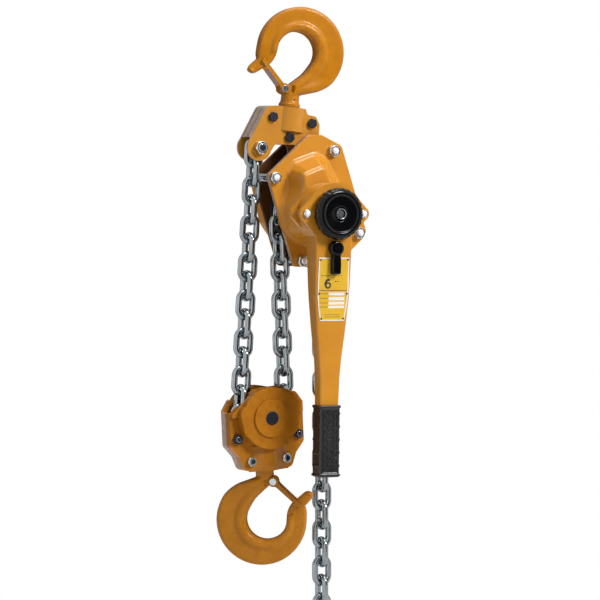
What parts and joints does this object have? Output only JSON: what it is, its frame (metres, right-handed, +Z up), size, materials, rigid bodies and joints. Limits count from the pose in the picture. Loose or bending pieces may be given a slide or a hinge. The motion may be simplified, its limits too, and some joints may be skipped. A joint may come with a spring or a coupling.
{
  "type": "lever chain hoist",
  "caption": "Hand lever chain hoist with a swivel top hook, a lever with a handwheel, and a bottom block whose hook hangs on two falls of chain.",
  "frame": {"origin": "centre of the top hook's bowl", "axes": "+Z up, the handwheel and lever face -Y, +X to the right seen from the handwheel"},
  "size_m": [0.237, 0.2119, 1.0792],
  "materials": {
    "orange_paint": "gloss",
    "primer": "satin",
    "zinc_steel": "zinc plated",
    "blackened_steel": "blackened",
    "black_rubber": "moulded",
    "black_plastic": "moulded",
    "friction_lining": "bare",
    "yellow_plate": "printed"
  },
  "bodies": {
    "top_hook": {"top_hook": "orange_paint", "top_latch_pin": "zinc_steel", "top_latch_spring": "zinc_steel"},
    "top_latch": {"top_latch": "orange_paint"},
    "yoke": {"yoke_front_plate": "orange_paint", "yoke_rear_plate": "orange_paint", "yoke_bolts": "blackened_steel", "chain_anchor_pin": "zinc_steel", "chain_anchor_nut": "zinc_steel", "chain_dead_fall": "zinc_steel"},
    "frame": {"yoke_pin": "zinc_steel", "side_plate_front": "orange_paint", "side_plate_rear": "primer", "stay_bolts": "zinc_steel", "stay_nuts": "zinc_steel", "sheave_bearings": "zinc_steel", "chain_guide": "blackened_steel", "chain_stripper": "blackened_steel", "brake_cover": "orange_paint", "gear_cover": "orange_paint", "gear_cover_screws": "zinc_steel", "pawl_pins": "zinc_steel", "pawl_springs": "blackened_steel", "ratchet_disc": "zinc_steel", "chain_sheave_wrap": "zinc_steel"},
    "load_sheave": {"load_sheave": "blackened_steel", "load_gear": "zinc_steel"},
    "gear_upper": {"intermediate_gear_upper": "zinc_steel"},
    "gear_lower": {"intermediate_gear_lower": "zinc_steel"},
    "drive": {"drive_shaft": "zinc_steel", "brake_hub": "zinc_steel", "friction_discs": "friction_lining", "changeover_gear": "zinc_steel", "handwheel": "black_plastic", "handwheel_nut": "zinc_steel"},
    "pawl_left": {"pawl_left": "zinc_steel"},
    "pawl_right": {"pawl_right": "zinc_steel"},
    "lever": {"lever_front_shell": "orange_paint", "lever_rear_shell": "orange_paint", "lever_bolts": "zinc_steel", "nameplate": "yellow_plate", "nameplate_rivets": "zinc_steel", "lever_grip": "black_rubber", "detent_spring": "blackened_steel"},
    "selector": {"selector_knob": "black_plastic", "selector_pawl": "zinc_steel"},
    "live_chain": {"chain_live_fall": "zinc_steel"},
    "tail_chain": {"chain_tail": "zinc_steel", "end_stop_ring": "zinc_steel"},
    "block": {"block_front_half": "orange_paint", "block_rear_half": "orange_paint", "block_bolts": "zinc_steel", "block_nuts": "zinc_steel", "block_axle": "blackened_steel", "chain_idler_wrap": "zinc_steel"},
    "idler": {"idler_sheave": "blackened_steel"},
    "bottom_hook": {"bottom_hook": "orange_paint", "bottom_latch_pin": "zinc_steel", "bottom_latch_spring": "zinc_steel"},
    "bottom_latch": {"bottom_latch": "orange_paint"}
  },
  "joints": [
    {"name": "top_latch_hinge", "type": "hinge", "parent": "top_hook", "child": "top_latch", "pos_m": [-0.0208, 0.00214, -0.0584], "axis": [0.1553, 0.9877, -0.0191], "range_deg": [0, 45], "stiffness_Nm_per_rad": 0.25, "springref_deg": -28.65},
    {"name": "yoke_swivel", "type": "hinge", "parent": "top_hook", "child": "yoke", "pos_m": [0, 0, 0], "axis": [0.1219, 0, 0.9925], "continuous": true},
    {"name": "body_swing", "type": "hinge", "parent": "yoke", "child": "frame", "pos_m": [0.014, 0, -0.154], "axis": [0, 1, 0], "range_deg": [-3.5, 2.5]},
    {"name": "sheave_turn", "type": "hinge", "parent": "frame", "child": "load_sheave", "pos_m": [0.009, 0, -0.254], "axis": [0, 1, 0], "range_deg": [0, 90], "deforming": ["chain_sheave_wrap"]},
    {"name": "drive_turn", "type": "hinge", "parent": "frame", "child": "drive", "pos_m": [0.009, 0, -0.254], "axis": [0, 1, 0], "continuous": true},
    {"name": "gear_upper_turn", "type": "hinge", "parent": "frame", "child": "gear_upper", "pos_m": [-0.00189, 0, -0.21034], "axis": [0, 1, 0], "continuous": true},
    {"name": "gear_lower_turn", "type": "hinge", "parent": "frame", "child": "gear_lower", "pos_m": [0.03671, 0, -0.28946], "axis": [0, 1, 0], "continuous": true},
    {"name": "pawl_left_hinge", "type": "hinge", "parent": "frame", "child": "pawl_left", "pos_m": [-0.011, 0, -0.189], "axis": [0, -1, 0], "range_deg": [0, 12], "stiffness_Nm_per_rad": 0.1, "springref_deg": -57.3},
    {"name": "pawl_right_hinge", "type": "hinge", "parent": "frame", "child": "pawl_right", "pos_m": [0.029, 0, -0.192], "axis": [0, -1, 0], "range_deg": [0, 12], "stiffness_Nm_per_rad": 0.1, "springref_deg": -57.3},
    {"name": "lever_turn", "type": "hinge", "parent": "frame", "child": "lever", "pos_m": [0.009, 0, -0.254], "axis": [0, 1, 0], "continuous": true},
    {"name": "selector_turn", "type": "hinge", "parent": "lever", "child": "selector", "pos_m": [0.00825, 0, -0.308], "axis": [0, 1, 0], "range_deg": [-35, 35]},
    {"name": "live_fall_swing", "type": "hinge", "parent": "frame", "child": "live_chain", "pos_m": [-0.03017, 0, -0.25543], "axis": [0, 1, 0], "range_deg": [-7, 7], "deforming": ["chain_live_fall"]},
    {"name": "tail_travel", "type": "slide", "parent": "frame", "child": "tail_chain", "axis": [0, 0, -1], "range_m": [0, 0.061]},
    {"name": "block_lift", "type": "slide", "parent": "yoke", "child": "block", "axis": [0, 0, 1], "range_m": [0, 0.031], "deforming": ["chain_dead_fall", "chain_live_fall"]},
    {"name": "idler_turn", "type": "hinge", "parent": "block", "child": "idler", "pos_m": [-0.059, 0, -0.577], "axis": [0, 1, 0], "continuous": true},
    {"name": "bottom_hook_swivel", "type": "hinge", "parent": "block", "child": "bottom_hook", "pos_m": [-0.05047, 0, -0.73978], "axis": [-0.0523, 0, 0.9986], "continuous": true},
    {"name": "bottom_latch_hinge", "type": "hinge", "parent": "bottom_hook", "child": "bottom_latch", "pos_m": [-0.04216, -0.00746, -0.67876], "axis": [0.5439, 0.8387, 0.0285], "range_deg": [0, 45], "stiffness_Nm_per_rad": 0.25, "springref_deg": -28.65}
  ],
  "couplings": [
    {"joint": "drive_turn", "follows": "sheave_turn", "ratio": 12},
    {"joint": "gear_upper_turn", "follows": "sheave_turn", "ratio": -3},
    {"joint": "gear_lower_turn", "follows": "sheave_turn", "ratio": -3},
    {"joint": "tail_travel", "follows": "sheave_turn", "m_per_rad": 0.038197},
    {"joint": "block_lift", "follows": "sheave_turn", "m_per_rad": 0.019099},
    {"joint": "idler_turn", "follows": "sheave_turn", "ratio": -0.47157},
    {"joint": "live_fall_swing", "follows": "body_swing", "ratio": -1.3093}
  ]
}
